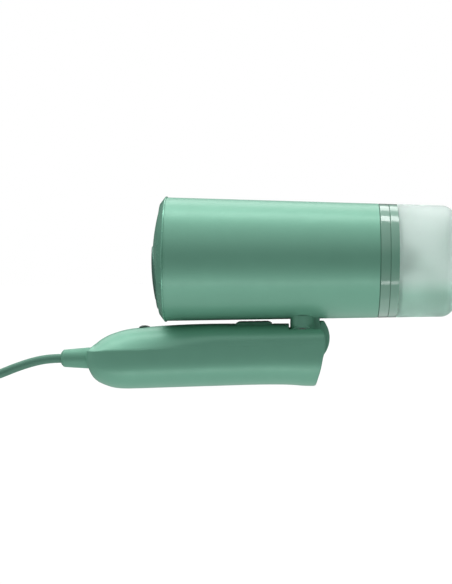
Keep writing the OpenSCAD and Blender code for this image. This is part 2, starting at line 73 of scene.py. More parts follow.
# ---------------------------------------------------------------- camera
AIM = Vector((-0.0177, 0.0, 0.0545))
AZ, EL, ROLL = math.radians(2.3), math.radians(1.5), math.radians(1.02)
back = Vector((math.sin(AZ) * math.cos(EL), -math.cos(AZ) * math.cos(EL), math.sin(EL)))
right = Vector((math.cos(AZ), math.sin(AZ), 0))
up = back.cross(right)
r2 = right * math.cos(ROLL) - up * math.sin(ROLL)
u2 = up * math.cos(ROLL) + right * math.sin(ROLL)
cam_data = bpy.data.cameras.new("camera")
cam_data.sensor_width = 36.0
cam_data.lens = 97.1
cam = bpy.data.objects.new("camera", cam_data)
scene.collection.objects.link(cam)
cam.matrix_world = Matrix.Translation(AIM + back * 0.904) @ Matrix((r2, u2, back)).transposed().to_4x4()
cam_data.clip_start, cam_data.clip_end = 0.01, 30.0
scene.camera = cam


# ---------------------------------------------------------------- mesh helpers
def new_mesh(name, verts, faces, sharp=38.0, normals=None):
    me = bpy.data.meshes.new(name)
    me.from_pydata([tuple(v) for v in np.asarray(verts, float)], [],
        [tuple(int(i) for i in f) for f in faces])
    me.polygons.foreach_set("use_smooth", np.ones(len(me.polygons), bool))
    me.update()
    if normals is not None:
        me.normals_split_custom_set_from_vertices([tuple(n) for n in normals])
    elif sharp:
        mark_sharp(me, sharp)
    ob = bpy.data.objects.new(name, me)
    scene.collection.objects.link(ob)
    return ob


def mark_sharp(me, degrees):
    nf = len(me.polygons)
    fn = np.zeros(nf * 3)
    me.polygons.foreach_get("normal", fn)
    fn = fn.reshape(-1, 3)
    first = {}
    flags = np.zeros(len(me.edges), bool)
    limit = math.cos(math.radians(degrees))
    loop_edge = np.zeros(len(me.loops), np.int32)
    me.loops.foreach_get("edge_index", loop_edge)
    face_of = np.zeros(len(me.loops), np.int32)
    for p in me.polygons:
        face_of[p.loop_start:p.loop_start + p.loop_total] = p.index
    for e, f in zip(loop_edge, face_of):
        if e in first:
            if fn[first[e]] @ fn[f] < limit:
                flags[e] = True
        else:
            first[e] = f
    me.edges.foreach_set("use_edge_sharp", flags)
    me.update()


def fillet(points, radii, steps=5, closed=False):
    """A polyline with its corners rounded. radii is one number or one per point."""
    pts = [np.array(p, float) for p in points]
    n = len(pts)
    rr = [radii] * n if np.isscalar(radii) else list(radii)
    out = []
    for i, p in enumerate(pts):
        if (not closed and i in (0, n - 1)) or rr[i] <= 0:
            out.append(p)
            continue
        a, b = pts[i - 1] - p, pts[(i + 1) % n] - p
        la, lb = np.linalg.norm(a), np.linalg.norm(b)
        a, b = a / la, b / lb
        ang = math.acos(max(-1, min(1, a @ b)))
        if ang > math.pi - 0.02:
            out.append(p)
            continue
        cut = min(rr[i] / math.tan(ang / 2), 0.45 * la, 0.45 * lb)
        r = cut * math.tan(ang / 2)
        mid = (a + b) / np.linalg.norm(a + b)
        c = p + mid * (r / math.sin(ang / 2))
        s, e = p + a * cut - c, p + b * cut - c
        t = math.acos(max(-1, min(1, (s @ e) / (r * r))))
        for k in range(steps + 1):
            f = k / steps
            out.append(c + (s * math.sin((1 - f) * t) + e * math.sin(f * t)) / math.sin(t))
    return np.array(out)


def lathe(name, profile, to_row=from_axis, centre=(0, 0), n=160, closed=True, sharp=38.0):
    """Turns a profile of (u, r) round the head's axis, or one beside it at centre (y, d)."""
    prof = np.asarray(profile, float)
    a = np.linspace(0, 2 * math.pi, n, endpoint=False)
    pole = [i for i in range(len(prof)) if prof[i, 1] < 1e-6]
    verts, index = [], np.zeros((len(prof), n), int)
    for i, (u, r) in enumerate(prof):
        if i in pole:
            verts.append([[u, centre[0], centre[1]]])
            index[i] = sum(len(v) for v in verts) - 1
        else:
            start = sum(len(v) for v in verts)
            verts.append(np.stack([np.full(n, u), centre[0] + r * np.sin(a), centre[1] - r * np.cos(a)], 1))
            index[i] = np.arange(start, start + n)
    verts = np.concatenate([np.asarray(v, float) for v in verts])
    faces = []
    m = len(prof) if closed else len(prof) - 1
    for i in range(m):
        j = (i + 1) % len(prof)
        if i in pole and j in pole:
            continue
        for k in range(n):
            l = (k + 1) % n
            q = [index[i, k], index[j, k], index[j, l], index[i, l]]
            f = []
            for v in q:
                if v not in f:
                    f.append(v)
            faces.append(f)
    area = np.sum(prof[:, 0] * np.roll(prof[:, 1], -1) - np.roll(prof[:, 0], -1) * prof[:, 1])
    if area < 0:
        faces = [f[::-1] for f in faces]
    return new_mesh(name, to_row(verts), faces, sharp)


def smooth_line(points, step=0.5, closed=False):
    """Catmull-Rom through the points (centripetal enough for even spacing)."""
    p = np.asarray(points, float)
    n = len(p)
    out = []
    for i in range(n if closed else n - 1):
        p0 = p[i - 1] if (closed or i > 0) else 2 * p[0] - p[1]
        p1, p2 = p[i], p[(i + 1) % n]
        p3 = p[(i + 2) % n] if (closed or i + 2 < n) else 2 * p[-1] - p[-2]
        d0, d1, d2 = (max(np.linalg.norm(b - a), 1e-6) ** 0.5 for a, b in ((p0, p1), (p1, p2), (p2, p3)))
        m1 = (p2 - p1) - d1 * ((p2 - p0) / (d0 + d1)) + d1 * (p1 - p0) / d0
        m2 = (p2 - p1) - d1 * ((p3 - p1) / (d1 + d2)) + d1 * (p3 - p2) / d2
        k = max(1, int(math.ceil(np.linalg.norm(p2 - p1) / step)))
        for j in range(k):
            t = j / k
            h = (2 * t**3 - 3 * t**2 + 1, t**3 - 2 * t**2 + t, -2 * t**3 + 3 * t**2, t**3 - t**2)
            out.append(h[0] * p1 + h[1] * m1 + h[2] * p2 + h[3] * m2)
    if not closed:
        out.append(p[-1])
    return np.array(out)


def tube_mesh(name, path, radius, sides=16, cap=True, sharp=None):
    """A round tube along a path in metres; radius is a number or one per point. Rings turn with the path."""
    p = np.asarray(path, float)
    rad = np.full(len(p), radius) if np.isscalar(radius) else np.asarray(radius, float)
    t = np.gradient(p, axis=0)
    t /= np.linalg.norm(t, axis=1)[:, None]
    ref = np.array([0, 1.0, 0]) if abs(t[0, 1]) < 0.9 else np.array([1.0, 0, 0])
    a = np.cross(t[0], ref)
    a /= np.linalg.norm(a)
    rings = []
    ang = np.linspace(0, 2 * math.pi, sides, endpoint=False)
    for i in range(len(p)):
        a = a - t[i] * (a @ t[i])
        a /= np.linalg.norm(a)
        b = np.cross(t[i], a)
        rings.append(p[i] + rad[i] * (np.outer(np.cos(ang), a) + np.outer(np.sin(ang), b)))
    verts = np.concatenate(rings)
    faces = []
    for i in range(len(p) - 1):
        for k in range(sides):
            l = (k + 1) % sides
            faces.append((i * sides + k, i * sides + l, (i + 1) * sides + l, (i + 1) * sides + k))
    if cap:
        faces.append(tuple(range(sides - 1, -1, -1)))
        faces.append(tuple((len(p) - 1) * sides + k for k in range(sides)))
    return new_mesh(name, verts, faces, sharp or 50.0)


# ---------------------------------------------------------------- solids from distance functions
def smax(a, b, k):
    h = np.clip(0.5 + 0.5 * (a - b) / k, 0, 1)
    return b + (a - b) * h + k * h * (1 - h)


def smin(a, b, k):
    return -smax(-a, -b, k)


def gradient(f, p, e=0.04):
    g = np.zeros_like(p)
    for i in range(3):
        d = np.zeros(3)
        d[i] = e
        g[:, i] = (f(p + d) - f(p - d)) / (2 * e)
    return g


def solid(name, f, lo, hi, h, to_row, steps=4):
    """The surface f = 0 of a solid (f below 0 inside), meshed on a grid of h mm and moved onto the surface."""
    ax = [np.arange(lo[i] - h, hi[i] + 2 * h, h) for i in range(3)]
    shape = tuple(len(x) for x in ax)
    P = np.stack(np.meshgrid(*ax, indexing="ij"), -1).reshape(-1, 3)
    V = f(P).reshape(shape)
    inside = V < 0
    n = tuple(s - 1 for s in shape)
    count = np.zeros(n, int)
    corners = [(i, j, k) for i in (0, 1) for j in (0, 1) for k in (0, 1)]
    for c in corners:
        count += inside[c[0]:c[0] + n[0], c[1]:c[1] + n[1], c[2]:c[2] + n[2]]
    cells = np.argwhere((count > 0) & (count < 8))
    total = np.zeros((len(cells), 3))
    hits = np.zeros(len(cells))
    for a in corners:
        for d in range(3):
            if a[d]:
                continue
            b = list(a)
            b[d] = 1
            ia, ib = cells + a, cells + b
            va, vb = V[tuple(ia.T)], V[tuple(ib.T)]
            cross = (va < 0) != (vb < 0)
            t = np.where(cross, va / np.where(cross, va - vb, 1), 0)
            pos = ia.astype(float)
            pos[:, d] += t
            total[cross] += pos[cross]
            hits[cross] += 1
    v = np.array([x[0] for x in ax]) + h * total / hits[:, None]
    for _ in range(steps):
        val = f(v)
        g = gradient(f, v)
        step = (val / np.maximum((g * g).sum(1), 0.05))[:, None] * g
        length = np.linalg.norm(step, axis=1, keepdims=True)
        v = v - step * np.minimum(1, 0.45 * h / np.maximum(length, 1e-9))
    g = gradient(f, v)
    nrm = g / np.maximum(np.linalg.norm(g, axis=1, keepdims=True), 1e-9)
    index = -np.ones(n, int)
    index[tuple(cells.T)] = np.arange(len(cells))
    faces = []
    for d in range(3):
        o = [x for x in range(3) if x != d]
        sl_a = [slice(None)] * 3
        sl_b = [slice(None)] * 3
        sl_a[d], sl_b[d] = slice(0, -1), slice(1, None)
        change = inside[tuple(sl_a)] != inside[tuple(sl_b)]
        at = np.argwhere(change)
        ok = (at[:, o[0]] > 0) & (at[:, o[1]] > 0) & (at[:, o[0]] < n[o[0]]) & (at[:, o[1]] < n[o[1]])
        at = at[ok]
        flip = inside[tuple(at.T)]
        q = []
        for s, t in ((-1, -1), (0, -1), (0, 0), (-1, 0)):
            c = at.copy()
            c[:, o[0]] += s
            c[:, o[1]] += t
            q.append(index[tuple(c.T)])
        q = np.stack(q, 1)
        if d == 1:
            flip = ~flip
        q[~flip] = q[~flip][:, ::-1]
        faces.append(q)
    faces = np.concatenate(faces)
    if mirrored(to_row):
        faces = faces[:, ::-1]
    return new_mesh(name, to_row(v), faces, sharp=None, normals=to_row_dir(nrm, to_row))


def mirrored(to_row):
    """True if a mapping turns a right-handed frame into a left-handed one."""
    return np.linalg.det(to_row(np.eye(3)) - to_row(np.zeros((1, 3)))) < 0


def to_row_dir(n, to_row):
    o = to_row(np.zeros((1, 3)))
    d = to_row(n) - o
    return d / np.linalg.norm(d, axis=1, keepdims=True)


def cyl(p, axis, centre, r, lo=None, hi=None):
    """Distance to a cylinder along axis 0, 1 or 2; centre gives the other two coordinates."""
    o = [i for i in range(3) if i != axis]
    d = np.hypot(p[:, o[0]] - centre[0], p[:, o[1]] - centre[1]) - r
    if lo is not None:
        d = np.maximum(d, np.maximum(lo - p[:, axis], p[:, axis] - hi))
    return d


def box(p, lo, hi, r=0.0):
    lo, hi = np.array(lo, float), np.array(hi, float)
    q = np.abs(p - (lo + hi) / 2) - ((hi - lo) / 2 - r)
    return np.linalg.norm(np.maximum(q, 0), axis=1) + np.minimum(q.max(1), 0) - r


def poly_distance(x, z, line):
    """Signed distance to a closed polygon, below 0 inside."""
    a = np.asarray(line, float)
    b = np.roll(a, -1, 0)
    best = np.full(len(x), 1e18)
    inside = np.zeros(len(x), bool)
    for (ax, az), (bx, bz) in zip(a, b):
        ex, ez = bx - ax, bz - az
        wx, wz = x - ax, z - az
        t = np.clip((wx * ex + wz * ez) / (ex * ex + ez * ez + 1e-12), 0, 1)
        best = np.minimum(best, (wx - t * ex) ** 2 + (wz - t * ez) ** 2)
        crosses = ((az > z) != (bz > z)) & (x < ex * (z - az) / (ez if abs(ez) > 1e-12 else 1e-12) + ax)
        inside ^= crosses
    d = np.sqrt(best)
    return np.where(inside, -d, d)


# ---------------------------------------------------------------- materials
def material(name, base, rough=0.45, metallic=0.0, bump=0.0, bump_scale=2600.0, vary=0.04,
             vary_scale=60.0, coat=0.0, ior=None, transmission=0.0, rough_vary=0.06):
    """A moulded surface: fine grain in the bump, soft variation in colour and roughness."""
    m = bpy.data.materials.new(name)
    m.use_nodes = True
    nt = m.node_tree
    nt.nodes.clear()
    out = nt.nodes.new("ShaderNodeOutputMaterial")
    b = nt.nodes.new("ShaderNodeBsdfPrincipled")
    nt.links.new(b.outputs[0], out.inputs[0])
    b.inputs["Metallic"].default_value = metallic
    b.inputs["Coat Weight"].default_value = coat
    b.inputs["Coat Roughness"].default_value = 0.5 * rough
    b.inputs["Transmission Weight"].default_value = transmission
    if ior is not None:
        b.inputs["IOR"].default_value = ior
    tc = nt.nodes.new("ShaderNodeTexCoord")
    n1 = nt.nodes.new("ShaderNodeTexNoise")
    n1.inputs["Scale"].default_value = vary_scale
    n1.inputs["Detail"].default_value = 4
    nt.links.new(tc.outputs["Object"], n1.inputs["Vector"])
    ramp = nt.nodes.new("ShaderNodeValToRGB")
    lo = [c * (1 - vary) for c in base]
    hi = [min(1, c * (1 + vary)) for c in base]
    ramp.color_ramp.elements[0].color = (*lo, 1)
    ramp.color_ramp.elements[1].color = (*hi, 1)
    ramp.color_ramp.elements[0].position, ramp.color_ramp.elements[1].position = 0.3, 0.7
    nt.links.new(n1.outputs["Fac"], ramp.inputs["Fac"])
    nt.links.new(ramp.outputs["Color"], b.inputs["Base Color"])
    n2 = nt.nodes.new("ShaderNodeTexNoise")
    n2.inputs["Scale"].default_value = vary_scale * 3.1
    n2.inputs["Detail"].default_value = 3
    nt.links.new(tc.outputs["Object"], n2.inputs["Vector"])
    mr = nt.nodes.new("ShaderNodeMapRange")
    mr.inputs["To Min"].default_value = max(0.0, rough - rough_vary)
    mr.inputs["To Max"].default_value = min(1.0, rough + rough_vary)
    mr.inputs["From Min"].default_value, mr.inputs["From Max"].default_value = 0.3, 0.7
    nt.links.new(n2.outputs["Fac"], mr.inputs["Value"])
    nt.links.new(mr.outputs["Result"], b.inputs["Roughness"])
    if bump:
        n3 = nt.nodes.new("ShaderNodeTexNoise")
        n3.inputs["Scale"].default_value = bump_scale
        n3.inputs["Detail"].default_value = 2
        nt.links.new(tc.outputs["Object"], n3.inputs["Vector"])
        bp = nt.nodes.new("ShaderNodeBump")
        bp.inputs["Strength"].default_value = bump
        bp.inputs["Distance"].default_value = 0.0001
        nt.links.new(n3.outputs["Fac"], bp.inputs["Height"])
        nt.links.new(bp.outputs["Normal"], b.inputs["Normal"])
    return m


GREEN = (0.200, 0.500, 0.360)
M = {
    "body": material("moulded_green", GREEN, rough=0.48, metallic=0.35, coat=0.35, bump=0.05, vary=0.02,
    rough_vary=0.03),
    "ring": material("moulded_green_slope", GREEN, rough=0.26, metallic=0.35, bump=0.03, vary=0.02,
    rough_vary=0.03),
    "dark": material("coated_plate", (0.105, 0.260, 0.195), rough=0.34, metallic=0.45, bump=0.04,
    vary=0.05),
    "soft": material("soft_green", (0.175, 0.440, 0.315), rough=0.55, metallic=0.25, bump=0.10,
    bump_scale=1500, vary=0.03),
    "cord": material("cord_green", (0.115, 0.300, 0.215), rough=0.55, metallic=0.10, bump=0.12,
    bump_scale=1200, vary=0.04),
    "lens": material("lens_dark", (0.030, 0.085, 0.062), rough=0.18, coat=0.5, vary=0.03),
    "clear": material("clear_gloss", (0.205, 0.445, 0.33), rough=0.09, coat=0.9, transmission=0.05,
    ior=1.46, vary=0.01, rough_vary=0.02),
    "rim": material("clear_satin", (0.21, 0.46, 0.34), rough=0.15, coat=0.7, transmission=0.05,
    ior=1.46, vary=0.01, rough_vary=0.03),
    "frost": material("frosted_tank", (0.88, 0.965, 0.935), rough=0.55, transmission=0.85, ior=1.40,
    bump=0.10, vary=0.015),
    "silicone": material("silicone", (0.62, 0.74, 0.68), rough=0.5, vary=0.03, bump=0.05),
    "filler": material("filler_silicone", (0.40, 0.62, 0.52), rough=0.5, vary=0.03, bump=0.05),
    "steel": material("steel", (0.62, 0.63, 0.64), rough=0.28, metallic=1.0, vary=0.05, bump=0.05),
    "alloy": material("cast_alloy", (0.66, 0.67, 0.68), rough=0.45, metallic=1.0, vary=0.08, bump=0.25,
    bump_scale=900),
    "brass": material("brass", (0.66, 0.46, 0.20), rough=0.3, metallic=1.0, vary=0.06, bump=0.05),
    "copper": material("winding", (0.52, 0.20, 0.09), rough=0.35, metallic=0.8, vary=0.08, bump=0.3,
    bump_scale=1800),
    "board": material("circuit_board", (0.035, 0.16, 0.075), rough=0.35, coat=0.3, vary=0.12,
    vary_scale=400),
    "wire": material("wire_insulation", (0.30, 0.12, 0.05), rough=0.45, vary=0.05, bump=0.05),
    "black": material("black_plastic", (0.018, 0.018, 0.020), rough=0.42, vary=0.10, bump=0.08),
    "white": material("white_plastic", (0.74, 0.74, 0.70), rough=0.42, vary=0.03, bump=0.06),
    "rubber": material("black_rubber", (0.022, 0.022, 0.022), rough=0.7, vary=0.15, bump=0.12),
}


def painted_shade_below(key, z, colour, soft=0.0015):
    """Painted shade: multiplies a material's colour below height z, in metres at rest."""
    nt = M[key].node_tree
    b = next(n for n in nt.nodes if n.type == "BSDF_PRINCIPLED")
    source = b.inputs["Base Color"].links[0].from_socket
    tc = nt.nodes.new("ShaderNodeTexCoord")
    sep = nt.nodes.new("ShaderNodeSeparateXYZ")
    nt.links.new(tc.outputs["Object"], sep.inputs[0])
    level = nt.nodes.new("ShaderNodeMapRange")
    level.inputs["From Min"].default_value, level.inputs["From Max"].default_value = z + soft, z - soft
    nt.links.new(sep.outputs[2], level.inputs["Value"])
    mix = nt.nodes.new("ShaderNodeMix")
    mix.data_type = "RGBA"
    mix.blend_type = "MULTIPLY"
    mix.inputs[7].default_value = (*colour, 1)
    nt.links.new(level.outputs["Result"], mix.inputs[0])
    nt.links.new(source, mix.inputs[6])
    nt.links.new(mix.outputs[2], b.inputs["Base Color"])


# painted shade: the frosted tank's colour is darker below this height
painted_shade_below("frost", 0.0562, (0.68, 0.83, 0.77), soft=0.0045)

NODE_MATERIAL = {
    "handle_screws": "steel", "hinge_pin": "steel", "friction_washers": "steel", "control_board": "board",
    "board_parts": "black", "micro_switch": "black", "cord_clamp": "black", "lead_wires": "wire",
    "trigger_springs": "steel", "neck_screws": "steel", "boiler_gasket": "silicone",
    "boiler_block": "alloy",
    "boiler_cover": "alloy", "cover_screws": "steel", "heating_element": "steel", "thermostat": "black",
    "thermal_fuse": "white", "heat_shield": "steel", "steam_inlet": "brass", "inner_frame": "white",
    "pump_body": "white", "pump_coil": "copper", "pump_mounts": "rubber", "outlet_hose": "silicone",
    "inlet_hose": "silicone", "dock_core": "body", "dock_spigot": "white", "dock_o_ring": "rubber",
    "tank_shell": "frost", "tank_cap": "frost", "tank_valve": "rubber", "valve_spring": "steel",
    "valve_cover": "white", "intake_hose": "silicone", "intake_filter": "steel", "plug_pins": "steel",
}


def paint(ob, key):
    ob.data.materials.clear()
    ob.data.materials.append(M[key])
    return ob


for n, key in NODE_MATERIAL.items():
    paint(NODES[n], key)


def piece(ob, body, key, slot, *nodes):
    paint(ob, key)
    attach(ob, body)
    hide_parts(*nodes)
    return ob


# ---------------------------------------------------------------- cord, coil, tail and plug
route = np.array([
    [-103, 0, 17.8], [-108, 0, 17.8], [-113.1, 0, 17.8], [-118, 0, 17.7], [-123.6, 0, 17.2],
    [-129.2, 0, 16.1], [-135, 0, 14.5], [-141, 0, 12.5], [-146, 0.1, 10.6], [-150.7, 0.5, 8.9],
    [-155.2, 1.7, 7.3], [-159.5, 3.7, 6], [-163.4, 6.4, 4.9], [-166.9, 9.9, 4.1],
    [-170.6, 14.4, 3.5], [-174.4, 19, 3.2]], float)
tail = np.array([
    [-242, 5, 13.9], [-242.3, -2, 14.4], [-242.3, -9, 15.8], [-241.7, -16, 18], [-239.9, -23, 20.8],
    [-236.6, -29.8, 23.4], [-231.6, -35.1, 25.5], [-225, -38.4, 27.1], [-218, -38.9, 28.2],
    [-211.8, -36.8, 28.9], [-206.8, -32.8, 29.3], [-203.6, -27.2, 29.5], [-202, -21, 29.6],
    [-201.5, -14, 29.6], [-201.4, -8, 29.6]], float)
COIL = np.array([-206.0, 0.0])
cells = [(36.4, 3.2), (31, 3.2), (25.6, 3.2), (25.6, 8.4), (25.6, 13.6), (31, 13.6), (31, 8.4),
    (36.4, 8.4), (36.4, 13.6)]
turns = []
start, end = 39.7, 8 * 360 + 170.0
for a in np.arange(start, end, 7.5):
    x = (a + 12 + 36) / 360.0          # changes from turn to turn between -48 and +24 degrees
    k = int(math.floor(x))
    f = (x - k) * 360 / 72.0
    k0, k1 = min(max(k - 1, 0), 8), min(max(k, 0), 8)
    w = 1.0 if f >= 1 else f * f * (3 - 2 * f)
    r = cells[k0][0] * (1 - w) + cells[k1][0] * w
    z = cells[k0][1] * (1 - w) + cells[k1][1] * w
    if cells[k0][0] == cells[k1][0] and k0 != k1:
        r += (2.0 if cells[k0][0] > 33 else -2.0 if cells[k0][0] < 28 else 0) * 4 * w * (1 - w)
    turns.append([COIL[0] + r * math.cos(math.radians(a)), COIL[1] + r * math.sin(math.radians(a)), z])
cord_path = smooth_line(np.concatenate([route, np.array(turns), tail]), 2.0) / 1000.0
cord_length = float(np.linalg.norm(np.diff(cord_path, axis=0), axis=1).sum())
print("CORD LENGTH", round(cord_length, 3), "points", len(cord_path))
cord = tube_mesh("mains_cord", cord_path, 0.0026, 16)
piece(cord, "handle", "cord", "cord_green", "cord", "cord_coil", "cord_tail")

PLUG = np.array([-201.4, -9.0, 29.6])


def from_plug(p):
    """(u along the plug towards the pins, x across, z up) from the plug's back, mm."""
    p = np.asarray(p, float)
    return (np.stack([p[:, 1], p[:, 0], p[:, 2]], 1) + PLUG) / 1000.0


def plug_solid(p):
    u, x, z = p[:, 0], p[:, 1], p[:, 2]
    r = np.hypot(x, z)
    relief = np.maximum(r - (4 + 2.5 * np.clip(u, 0, 20) / 20), np.maximum(-u, u - 22))
    for y in (4, 8.6, 13.2):
        relief = np.maximum(relief, -np.maximum(4.0 - r, np.abs(u - y - 0.8) - 0.8))
    flat = np.hypot(np.maximum(np.abs(x) - 4.5, 0), z) - 13
    neck = np.hypot(np.maximum(np.abs(x) - 4.5 * np.clip((u - 18) / 10, 0, 1), 0),
        z) - (6.3 + 6.7 * np.clip((u - 18) / 10, 0, 1) ** 0.8)
    body = smax(np.maximum(flat, 0 * u - 50), np.maximum(28 - u, u - 38), 1.6)
    neck = np.maximum(neck * 0.8, np.maximum(18 - u, u - 30))
    d = smin(smin(relief, neck, 1.2), body, 0.8)
    grip = np.hypot(np.hypot(x, z * 0) - 19.5, (u - 33)) - 3.2
    d = smax(d, -grip, 1.0)
    return np.maximum(d, -(np.maximum(np.maximum(r - 2.62, u - 12), -2 - u)))


plug = solid("mains_plug", plug_solid, (0, -18, -13.5), (38.5, 18, 13.5), 0.7, from_plug)
piece(plug, "handle", "soft", "soft_green", "plug_body")


def tie_band():
    a = math.radians(-24)
    c, s = math.cos(a), math.sin(a)
    loop = fillet([(-8.4, 0.3), (8.4, 0.3), (8.4, 16.9), (-8.4, 16.9)], 3.6, 6, closed=True)
    loop_in = fillet([(-7.8, 0.9), (7.8, 0.9), (7.8, 16.3), (-7.8, 16.3)], 3.0, 6, closed=True)
    v, f = [], []
    n = len(loop)
    for ring, w in ((loop, 3.6), (loop, 4.0), (loop_in, 4.0), (loop_in, -4.0), (loop, -4.0), (loop, -3.6)):
        q = (ring - ring.mean(0)) * (1.0 if ring is loop_in else (1.02 if abs(w) < 3.8 else 1.0)) + ring.mean(0)
        for r, z in q:
            x, y = 31 + r, w
            v.append((COIL[0] + x * c - y * s, COIL[1] + x * s + y * c, z))
    for i in range(6):
        for k in range(n):
            f.append((i * n + k, i * n + (k + 1) % n, ((i + 1) % 6) * n + (k + 1) % n,
                ((i + 1) % 6) * n + k))
    return new_mesh("cord_tie", np.array(v) / 1000.0, f, 35)


tie = tie_band()
piece(tie, "handle", "black", "black_plastic", "coil_tie")

# ---------------------------------------------------------------- handle
side_line = [
    [-123.9, -10.1], [-123.5, -7.2], [-122.1, -4.7], [-120.4, -3.2], [-118.1, -1.1], [-114.9, 1.2],
    [-110.5, 3.4], [-104, 5.5], [-98.4, 6.6], [-91, 7.3], [-84, 7.8], [-74, 8.3], [-63.9, 8.6],
    [-52, 8.7], [-40.9, 8.6], [-26, 8.4], [-12.2, 8.2], [-4, 8.1], [3, 8], [7.6, 7.4], [10.2, 6.2],
    [11.9, 4.4], [13, 1.8], [13.2, -1], [13.1, -4], [12.3, -8], [11.4, -11.2], [10.9, -13.8],
    [9.9, -18.3], [8.5, -22.9], [7.5, -26.4], [7.1, -27.5], [6.5, -27.9], [1.4, -27.9], [-4, -27.4],
    [-10.3, -27], [-24.6, -26.8], [-36, -26.9], [-47.6, -27.1], [-59, -27.3], [-70.6, -27.5],
    [-82, -27.7], [-92, -27.9], [-102.6, -27.9], [-107.6, -27.4], [-111.4, -26.4], [-114.2, -25.3],
    [-116.9, -24], [-119.6, -21.7], [-121.2, -19.3], [-122.6, -16], [-123.5, -13]]
OUTLINE = smooth_line(side_line, 2.2, closed=True)
STATIONS = np.linspace(-123.9, 20, 600)
top_line = smooth_line([[-123.9, -10.1]] + side_line[1:19] + [[22, 8]], 0.4)
bottom_line = smooth_line([[-123.9, -10.1]] + side_line[:32:-1] + [[22, -27.9]], 0.4)
TOP_Z = np.interp(STATIONS, top_line[:, 0], top_line[:, 1])
BOT_Z = np.interp(STATIONS, bottom_line[:, 0], bottom_line[:, 1])
PLAN = np.array([[-123.9, 9.4], [-122.6, 11.6], [-120, 13.4], [-116, 15], [-110, 16.7], [-103, 17.9],
                 [-95, 18.6], [-85, 19], [20, 19]], float)
PLAN_LINE = smooth_line(PLAN, 0.5)


BOSSES = ((-106.6, -16.4), (-62, -19.6), (-27, -19.6), (-80.4, -0.5))  # screw bosses, as (x, z)


def outer(p):
    """Handle's skin: side outline, section with its crease, plan."""
    x, y, z = p[:, 0], np.abs(p[:, 1]), p[:, 2]
    zt = np.interp(x, STATIONS, TOP_Z)
    zb = np.interp(x, STATIONS, BOT_Z) - 0.1
    w = np.interp(x, PLAN_LINE[:, 0], PLAN_LINE[:, 1])
    s = np.clip((x + 45) / -62.0, 0, 1)
    s = s * s * (3 - 2 * s)
    zc = -5.6 + 0.0206 * (x + 123.9)
    zt = np.maximum(zt, zc + 4.0)
    zb = np.minimum(zb, zc - 6.0)
    t = np.maximum(z - zc, 0) / (zt - zc)
    yn = y / w
    n = 2.35
    g1 = (yn**n + t**n) ** (1 / n) - 1
    g2 = t + yn**2.1 - 1
    gt = (1 - s) * g1 * (zt - zc) + s * g2 * (zt - zc) * 0.72
    tb = np.maximum(zc - 1.5 - z, 0) / (zc - 1.5 - zb)
    gb = ((yn**2.7 + tb**2.7) ** (1 / 2.7) - 1) * w
    upper = np.clip((z - zc) / 0.35 + 0.5, 0, 1)
    g = gt * upper + gb * (1 - upper)
    S = poly_distance(x, z, OUTLINE)
    plan = (y - w) * 0.9
    nose = smax(S, plan, 1.5)
    d = smax(g, nose, 0.9)
    return d


SADDLE = math.radians(96.4)


def cuts(p):
    """What is taken out of the handle: hinge pockets, the unfolded head's saddle and its path."""
    x, y, z = p[:, 0], p[:, 1], p[:, 2]
    rad = np.hypot(x, z)
    pocket = np.maximum(np.maximum(rad - BARREL_R - 0.5, np.abs(y) - 8.5), np.where(x > -7.4, -1, z - 1))
    slot = np.maximum(np.maximum(rad - BARREL_R + 0.7, np.abs(y) - 13.7), np.maximum(-7.4 - x, -9.8 - z))
    knuckle = np.maximum(rad - 8, np.abs(y) - 13.7)
    c = np.minimum(np.minimum(pocket, slot), knuckle)
    nx, nz = math.sin(SADDLE), math.cos(SADDLE)
    cx, cz = RISE * math.sin(SADDLE), RISE * math.cos(SADDLE)
    d = (x - cx) * nx + (z - cz) * nz
    sad = np.hypot(d, y) - 34.13
    ang = np.degrees(np.arctan2(x, z))
    swept = np.hypot(rad - RISE, y) - 34.98
    swept = np.maximum(swept, np.maximum(1.4 - ang, ang - 96.4) * 0.12)
    return c, np.minimum(sad, swept)


def room(p):
    x, y, z = p[:, 0], np.abs(p[:, 1]), p[:, 2]
    d = outer(p) + 2.4
    d = np.maximum(d, np.maximum(x + 18.2, -121 - x))
    posts = np.minimum.reduce([np.hypot(x - a, z - b) - 4.4 for a, b in BOSSES])
    return np.maximum(d, -posts)


def handle_half(side):
    def f(p):
        q = p.copy()
        q[:, 1] = q[:, 1] * side
        body = outer(q)
        c, saddle = cuts(q)
        d = smax(body, -saddle, 0.7)
        d = smax(d, -c, 0.5)
        x, y, z = q.T
        trig = box(q, (-38.1, -7.2, 3), (-17.0, 7.2, 14), 0.8)
        lamp = box(q, (-93.55, -2.15, 3), (-87.25, 2.15, 14), 0.5)
        d = smax(d, -trig, 0.5)
        d = smax(d, -lamp, 0.3)
        d = smax(d, -np.maximum(np.hypot(y, z + 10.1) - 6.25, x + 114), 0.5)
        d = np.maximum(d, -room(q))
        if side > 0:
            for a, b in BOSSES:
                d = smax(d, -np.maximum(np.hypot(x - a, z - b) - 3.0, 9 - y), 0.4)
                d = np.maximum(d, -np.maximum(np.hypot(x - a, z - b) - 1.6, -y - 1))
        return smax(d, 0.05 - y, 0.35)
    return f


near = solid("handle_near", handle_half(-1), (-124.3, -19.3, -28.2), (15.2, 0.2, 9.2), 0.55, from_handle)
piece(near, "handle", "body", "body_green", "handle_shell_near")
far = solid("handle_far", lambda p: handle_half(1)(p), (-124.3, -0.2, -28.2), (15.2, 19.3, 9.2), 0.55,
    from_handle)
piece(far, "handle", "body", "body_green", "handle_shell_far")


# cord guard: a tapered strain relief with a chamfered tip and a flange at its inner end
def from_guard(p):
    p = np.asarray(p, float)
    return from_handle(np.stack([p[:, 0], p[:, 1], -10.1 - p[:, 2]], 1))


